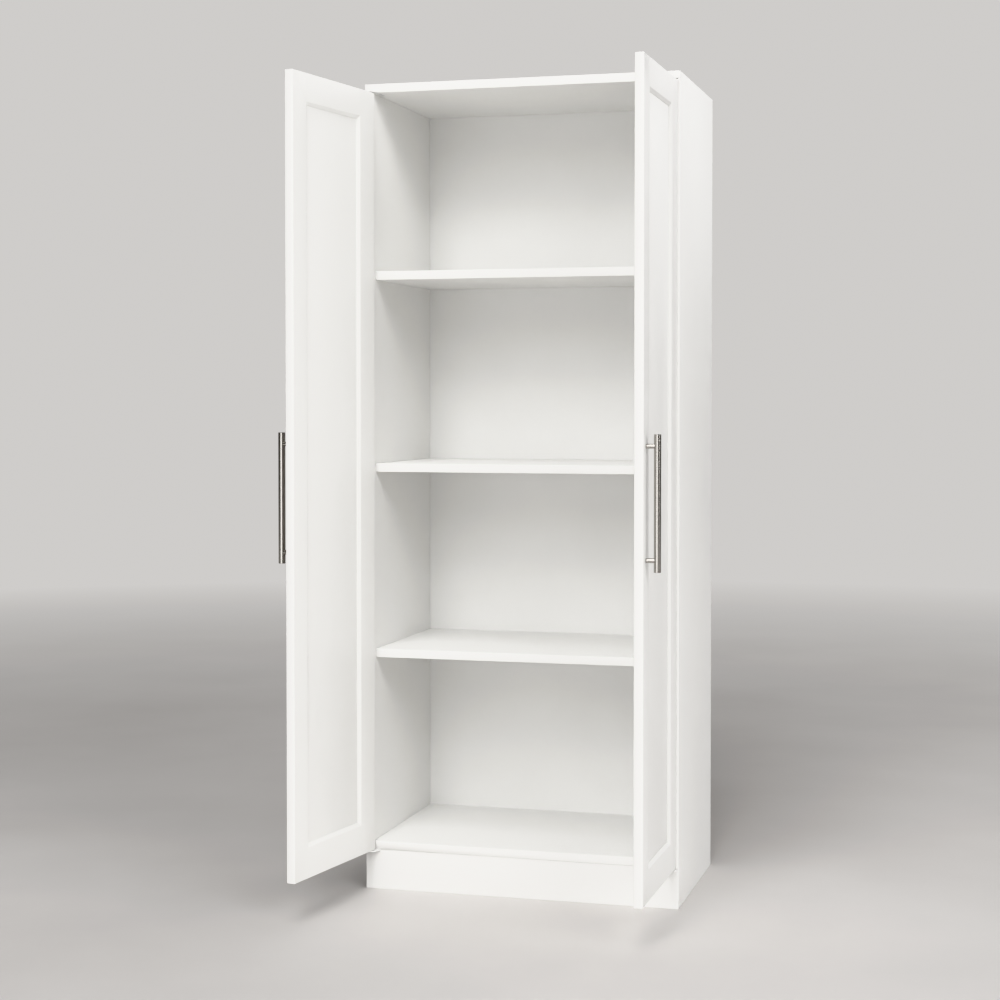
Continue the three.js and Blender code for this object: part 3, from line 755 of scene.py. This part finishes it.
def drawn_up(solid, to_shut):
    """Draws a rail up tight to both stiles, by the CAD model's gap at each end."""
    from_shut = to_shut.inverted()
    places = {vertex: to_shut @ vertex.co for vertex in solid.verts}
    left, right = min(p.x for p in places.values()), max(p.x for p in places.values())
    centre, stretch = (left + right) / 2, 1 + 2 * JOINT_GAP / (right - left)
    for vertex, place in places.items():
        place.x = centre + (place.x - centre) * stretch
        vertex.co = from_shut @ place


def parted(solid, to_shut, heights):
    """Parts a stile's long edges where the rails' crests meet them."""
    from_shut = to_shut.inverted()
    for height in heights:
        geometry = solid.verts[:] + solid.edges[:] + solid.faces[:]
        level = from_shut @ Vector((0, 0, height))
        bmesh.ops.bisect_plane(solid, geom=geometry, plane_co=level, plane_no=(0, 0, 1))
    solid.normal_update()


joints = {joint["child"]: joint for joint in frame["joints"]}
for side in ("left", "right"):
    to_shut = shut_frame(joints[f"{side}_door"])
    members = ("hinge_stile", "lock_stile", "bottom_rail", "top_rail")
    solids = {member: welded(f"{side}_door_{member}") for member in members}
    corners = [to_shut @ vertex.co for solid in solids.values() for vertex in solid.verts]
    faces = box_faces(corners)
    hinge_x = min((place for axis, place in faces if axis == 0), key=abs)
    crest_z = []
    for member, crest in (("bottom_rail", max), ("top_rail", min)):
        places = [to_shut @ vertex.co for vertex in solids[member].verts]
        crest_z.append(crest(point.z for point in places if on_door_face(point, faces)))
    for member, solid in solids.items():
        if member.endswith("rail"):
            drawn_up(solid, to_shut)
        else:
            parted(solid, to_shut, crest_z)
        arris_share = door_arris(to_shut, faces, hinge_x, crest_z)
        piece = eased(solid, f"{side}_{member}", lacquer, DOOR_ARRIS, arris_share)
        stand_for(piece, f"{side}_door_{member}", f"{side}_door")
    panel = eased(
        welded(f"{side}_door_centre_panel"), f"{side}_centre_panel", lacquer, DOOR_ARRIS,
        lambda edge: PANEL_SHARE,
    )
    stand_for(panel, f"{side}_door_centre_panel", f"{side}_door")

# ---------------------------------------------------------------------------------------------
# Pulls. A round bar of brushed stainless steel with flat ends on two thinner posts, let into it
# from behind. A threaded stud joins each post to the lock stile, out of sight.
# ---------------------------------------------------------------------------------------------
END_CHAMFER = 0.0004
STEEL_GREY = (0.48, 0.462, 0.435)
STEEL_EDGE = (0.4, 0.39, 0.37)
PULL_SIDES = 64
THREAD_PITCH = 0.0007
THREAD_DEPTH = 0.00035
THREAD_STEPS = 8
THREAD_SIDES = 16
BRUSH_MARK_HEIGHT = 0.000003


def make_brushed_steel():
    """Stainless steel polished on a belt while it turned: fine rings round the bar."""
    material, nodes, links, shader = new_material("brushed_stainless", roughness=0.2, metallic=1.0)
    rings = grain(nodes, links, scale=40.0, stretch=(1, 1, 60), detail=4.0, roughness=0.7)
    links.new(
        tint(nodes, links, rings, shade(STEEL_GREY, 0.93), STEEL_GREY),
        shader.inputs["Base Color"],
    )
    shader.inputs["Specular Tint"].default_value = (*STEEL_EDGE, 1)
    links.new(spread(nodes, links, rings, 0.17, 0.23), shader.inputs["Roughness"])
    relief(nodes, links, shader, (rings, BRUSH_MARK_HEIGHT))
    return material


def threaded(name, radius, length, start, axis, material):
    """A stud with a real helical thread, made on a grid of steps along and round it."""
    solid = bmesh.new()
    count = max(2, round(length / THREAD_PITCH * THREAD_STEPS))
    rows = []
    for step in range(count + 1):
        height = length * step / count
        row = []
        for side in range(THREAD_SIDES):
            phase = (height / THREAD_PITCH - side / THREAD_SIDES) % 1.0
            reach = radius - THREAD_DEPTH * abs(2 * phase - 1)
            angle = 2 * math.pi * side / THREAD_SIDES
            row.append(solid.verts.new((reach * math.cos(angle), reach * math.sin(angle), height)))
        rows.append(row)
    for lower, upper in zip(rows, rows[1:]):
        for side in range(THREAD_SIDES):
            following = (side + 1) % THREAD_SIDES
            solid.faces.new((lower[side], lower[following], upper[following], upper[side]))
    solid.faces.new(reversed(rows[0]))
    solid.faces.new(rows[-1])
    return stood(solid, name, material, start, axis)


def size_off_door(node, to_shut):
    """The radius and length of a turned CAD node that stands square off the door's face."""
    places = [to_shut @ vertex.co for vertex in frame["nodes"][node].data.vertices]
    radius = (max(p.z for p in places) - min(p.z for p in places)) / 2
    return radius, max(p.y for p in places) - min(p.y for p in places)


brushed_steel = make_brushed_steel()
for side in ("left", "right"):
    to_shut = shut_frame(joints[f"{side}_door"])
    outward = (to_shut.to_3x3().inverted() @ Vector((0, -1, 0))).normalized()

    bar_node = f"{side}_pull_bar"
    radius, length = upright_size(bar_node)
    profile = [
        (0, 0), (radius - END_CHAMFER, 0), (radius, END_CHAMFER),
        (radius, length - END_CHAMFER), (radius - END_CHAMFER, length), (0, length),
    ]
    foot = foot_of(bar_node, upward=True)
    bar = turn(f"{side}_bar", profile, brushed_steel, foot, sides=PULL_SIDES)
    stand_for(bar, bar_node, f"{side}_door")

    for level in ("lower", "upper"):
        post_node = f"{side}_pull_{level}_post"
        radius, length = size_off_door(post_node, to_shut)
        profile = [
            (0, 0), (radius - END_CHAMFER, 0), (radius, END_CHAMFER), (radius, length), (0, length),
        ]
        foot = middle(post_node) - outward * length / 2
        post = turn(f"{side}_{level}_post", profile, brushed_steel, foot, outward)
        stand_for(post, post_node, f"{side}_door")

        stud_node = f"{side}_pull_{level}_stud"
        radius, length = size_off_door(stud_node, to_shut)
        foot = middle(stud_node) - outward * length / 2
        stud = threaded(f"{side}_{level}_stud", radius, length, foot, outward, zinc)
        stand_for(stud, stud_node, f"{side}_door")

# ---------------------------------------------------------------------------------------------
# Studio. A pale floor that fades into a pale backdrop, soft light from all round, and large soft
# lights in front, above, to the right and behind. The camera is in front and to the right.
# ---------------------------------------------------------------------------------------------
FLOOR_RADIUS = 9.0
FLOOR_SIDES = 96
FLOOR_FADE = (2.5, 6.5)
FLOOR_PALE = (0.64, 0.62, 0.605)
BACKDROP = (0.66, 0.645, 0.63)
ROOM_LIGHT = (0.153, 0.150, 0.147)
LIGHTS_AIM = (0, 0, 0.8)
SOFT_LIGHTS = {
    "overhead": ((0.0, -3.2, 6.5), (2.6, 2.6), 119),
    "right_side": ((6.5, -2.5, 2.6), (3.0, 3.0), 165),
    "high_front": ((0.0, -9.0, 8.4), (4.5, 4.5), 585),
    "low_front": ((0.0, -10.0, 5.0), (4.5, 3.5), 235),
    "high_right": ((7.0, -7.0, 7.0), (4.5, 4.0), 385),
    "rear": ((5.5, 9.0, 4.5), (4.5, 4.0), 240),
    "pull_glint": ((-0.2, -4.4, 0.7), (3.0, 1.1), 25),
}
SENSOR_WIDTH_MM = 36.0
LENS_LENGTH_MM = 70.70
LENS_SHIFT = -0.05
CAMERA_PLACE = (0.9366, -3.5279, 0.9292)
CAMERA_TURN = 0.2698
CAMERA_DIP = 0.0254


def make_floor():
    """A disc of pale screed that fades, well away from the cabinet, into the backdrop's colour."""
    floor_mesh = bpy.data.meshes.new("studio_floor")
    disc = bmesh.new()
    bmesh.ops.create_circle(disc, cap_ends=True, segments=FLOOR_SIDES, radius=FLOOR_RADIUS)
    disc.to_mesh(floor_mesh)
    disc.free()
    material, nodes, links, shader = new_material("pale_floor", roughness=0.6)
    cloud = grain(nodes, links, scale=2.2, detail=6.0)
    links.new(
        tint(nodes, links, cloud, shade(FLOOR_PALE, 0.93), FLOOR_PALE),
        shader.inputs["Base Color"],
    )
    coordinates = nodes.new("ShaderNodeTexCoord")
    distance = nodes.new("ShaderNodeVectorMath")
    distance.operation = "LENGTH"
    links.new(coordinates.outputs["Object"], distance.inputs[0])
    backdrop = nodes.new("ShaderNodeEmission")
    backdrop.inputs["Color"].default_value = (*BACKDROP, 1)
    fade = nodes.new("ShaderNodeMixShader")
    links.new(spread(nodes, links, distance.outputs["Value"], 0, 1, *FLOOR_FADE), fade.inputs["Fac"])
    links.new(shader.outputs["BSDF"], fade.inputs[1])
    links.new(backdrop.outputs["Emission"], fade.inputs[2])
    links.new(fade.outputs["Shader"], nodes["Material Output"].inputs["Surface"])
    floor_mesh.materials.append(material)
    floor = bpy.data.objects.new("studio_floor", floor_mesh)
    bpy.context.scene.collection.objects.link(floor)


def make_world():
    """Even light from the whole room, where the camera sees the backdrop's own colour instead."""
    world = bpy.data.worlds.new("pale_room")
    world.use_nodes = True
    nodes, links = world.node_tree.nodes, world.node_tree.links
    seen = nodes.new("ShaderNodeLightPath")
    colour = nodes.new("ShaderNodeMix")
    colour.data_type = "RGBA"
    colour.inputs[MIX_A].default_value = (*ROOM_LIGHT, 1)
    colour.inputs[MIX_B].default_value = (*BACKDROP, 1)
    links.new(seen.outputs["Is Camera Ray"], colour.inputs["Factor"])
    links.new(colour.outputs[MIX_RESULT], nodes["Background"].inputs["Color"])
    bpy.context.scene.world = world


def make_soft_light(name, place, size, power):
    """A rectangular light of a size (wide, high) and a power in watts, aimed at the cabinet."""
    lamp = bpy.data.lights.new(name, "AREA")
    lamp.shape = "RECTANGLE"
    lamp.size, lamp.size_y = size
    lamp.energy = power
    light = bpy.data.objects.new(name, lamp)
    light.visible_camera = False
    light.location = place
    aim = Vector(LIGHTS_AIM) - Vector(place)
    light.rotation_euler = aim.to_track_quat("-Z", "Y").to_euler()
    bpy.context.scene.collection.objects.link(light)


def make_camera():
    """A long lens at waist height, turned to the left and dipped a little."""
    lens = bpy.data.cameras.new("camera")
    lens.sensor_width = SENSOR_WIDTH_MM
    lens.lens = LENS_LENGTH_MM
    lens.shift_y = LENS_SHIFT
    camera = bpy.data.objects.new("camera", lens)
    camera.location = CAMERA_PLACE
    camera.rotation_euler = (math.pi / 2 - CAMERA_DIP, 0, CAMERA_TURN)
    bpy.context.scene.collection.objects.link(camera)
    bpy.context.scene.camera = camera


make_floor()
make_world()
for light_name, (place, size, power) in SOFT_LIGHTS.items():
    make_soft_light(light_name, place, size, power)
make_camera()
bpy.context.scene.view_settings.view_transform = "Khronos PBR Neutral"
